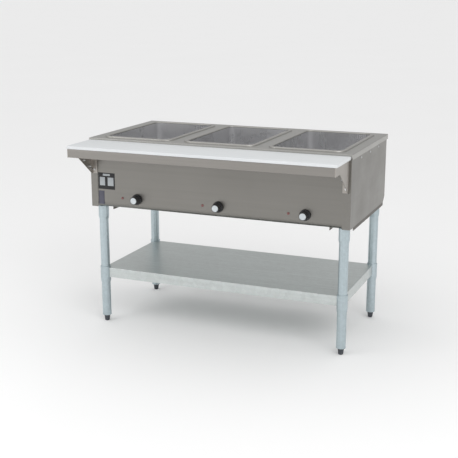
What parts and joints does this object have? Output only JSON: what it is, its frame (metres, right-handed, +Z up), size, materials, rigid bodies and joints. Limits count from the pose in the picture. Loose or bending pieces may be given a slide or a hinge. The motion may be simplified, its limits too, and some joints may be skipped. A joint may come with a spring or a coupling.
{
  "type": "steam table",
  "caption": "Electric hot-food table: food wells in a stainless body, poly work board in front, knob controls, and an open galvanised stand with an adjustable undershelf.",
  "frame": {"origin": "on the floor, under the middle of the table's overall length and depth", "axes": "+X along the length to the operator's right, -Y towards the operator and the work board, +Z up"},
  "size_m": [1.2192, 0.826, 0.8818],
  "materials": {
    "stainless_deck": "satin",
    "stainless_panel": "satin",
    "stainless_liner": "satin",
    "stainless_shelf": "satin",
    "galvanised_tube": "satin",
    "galvanised_sheet": "matte",
    "poly_board": "matte",
    "knob_black": "satin",
    "cap_silver": "satin",
    "lamp_red": "gloss",
    "insulation_board": "matte",
    "element_sheath": "matte",
    "switch_case": "matte",
    "fastener_zinc": "satin",
    "plate_blank": "matte",
    "foot_grey": "matte",
    "cable_black": "matte"
  },
  "bodies": {
    "table": {"bottom_panel": "galvanised_sheet", "bracket_bolts": "fastener_zinc", "cord_gland": "cable_black", "deck_top": "stainless_deck", "dish_shelf": "stainless_shelf", "element_clamps": "fastener_zinc", "foot_inserts": "galvanised_tube", "front_panel": "stainless_panel", "heating_element_1": "element_sheath", "heating_element_2": "element_sheath", "heating_element_3": "element_sheath", "infinite_switch_1": "switch_case", "infinite_switch_2": "switch_case", "infinite_switch_3": "switch_case", "left_mounting_channel": "galvanised_sheet", "left_shelf_bracket": "stainless_shelf", "left_side_panel": "stainless_panel", "leg_front_left": "galvanised_tube", "leg_front_right": "galvanised_tube", "leg_rear_left": "galvanised_tube", "leg_rear_right": "galvanised_tube", "leg_socket_front_left": "galvanised_tube", "leg_socket_front_right": "galvanised_tube", "leg_socket_rear_left": "galvanised_tube", "leg_socket_rear_right": "galvanised_tube", "panel_screws": "fastener_zinc", "pilot_lamp_1": "lamp_red", "pilot_lamp_2": "lamp_red", "pilot_lamp_3": "lamp_red", "rating_plate": "plate_blank", "rear_panel": "stainless_panel", "right_mounting_channel": "galvanised_sheet", "right_shelf_bracket": "stainless_shelf", "right_side_panel": "stainless_panel", "socket_set_screws": "fastener_zinc", "terminal_block": "switch_case", "well_insulation": "insulation_board", "well_liner_1": "stainless_liner", "well_liner_2": "stainless_liner", "well_liner_3": "stainless_liner", "wiring_loom": "cable_black"},
    "control_1": {"knob_1": "knob_black", "knob_cap_1": "cap_silver", "switch_shaft_1": "fastener_zinc"},
    "control_2": {"knob_2": "knob_black", "knob_cap_2": "cap_silver", "switch_shaft_2": "fastener_zinc"},
    "control_3": {"knob_3": "knob_black", "knob_cap_3": "cap_silver", "switch_shaft_3": "fastener_zinc"},
    "work_board": {"cutting_board": "poly_board"},
    "shelf_assembly": {"undershelf": "galvanised_sheet", "shelf_collars": "galvanised_tube", "shelf_set_screws": "fastener_zinc", "shelf_stiffener": "galvanised_sheet"},
    "adjuster_front_left": {"foot_front_left": "foot_grey"},
    "adjuster_front_right": {"foot_front_right": "foot_grey"},
    "adjuster_rear_left": {"foot_rear_left": "foot_grey"},
    "adjuster_rear_right": {"foot_rear_right": "foot_grey"}
  },
  "joints": [
    {"name": "knob_turn_1", "type": "hinge", "parent": "table", "child": "control_1", "pos_m": [-0.3737, -0.20735, 0.61], "axis": [0, -1, 0], "continuous": true},
    {"name": "knob_turn_2", "type": "hinge", "parent": "table", "child": "control_2", "pos_m": [0.02, -0.20735, 0.61], "axis": [0, -1, 0], "continuous": true},
    {"name": "knob_turn_3", "type": "hinge", "parent": "table", "child": "control_3", "pos_m": [0.4137, -0.20735, 0.61], "axis": [0, -1, 0], "continuous": true},
    {"name": "board_lift", "type": "slide", "parent": "table", "child": "work_board", "axis": [0, 0, 1], "range_m": [0, 0.15]},
    {"name": "shelf_height", "type": "slide", "parent": "table", "child": "shelf_assembly", "axis": [0, 0, 1], "range_m": [-0.12, 0.2]},
    {"name": "foot_height_front_left", "type": "slide", "parent": "table", "child": "adjuster_front_left", "axis": [0, 0, -1], "range_m": [0, 0.025]},
    {"name": "foot_height_front_right", "type": "slide", "parent": "table", "child": "adjuster_front_right", "axis": [0, 0, -1], "range_m": [0, 0.025]},
    {"name": "foot_height_rear_left", "type": "slide", "parent": "table", "child": "adjuster_rear_left", "axis": [0, 0, -1], "range_m": [0, 0.025]},
    {"name": "foot_height_rear_right", "type": "slide", "parent": "table", "child": "adjuster_rear_right", "axis": [0, 0, -1], "range_m": [0, 0.025]}
  ]
}
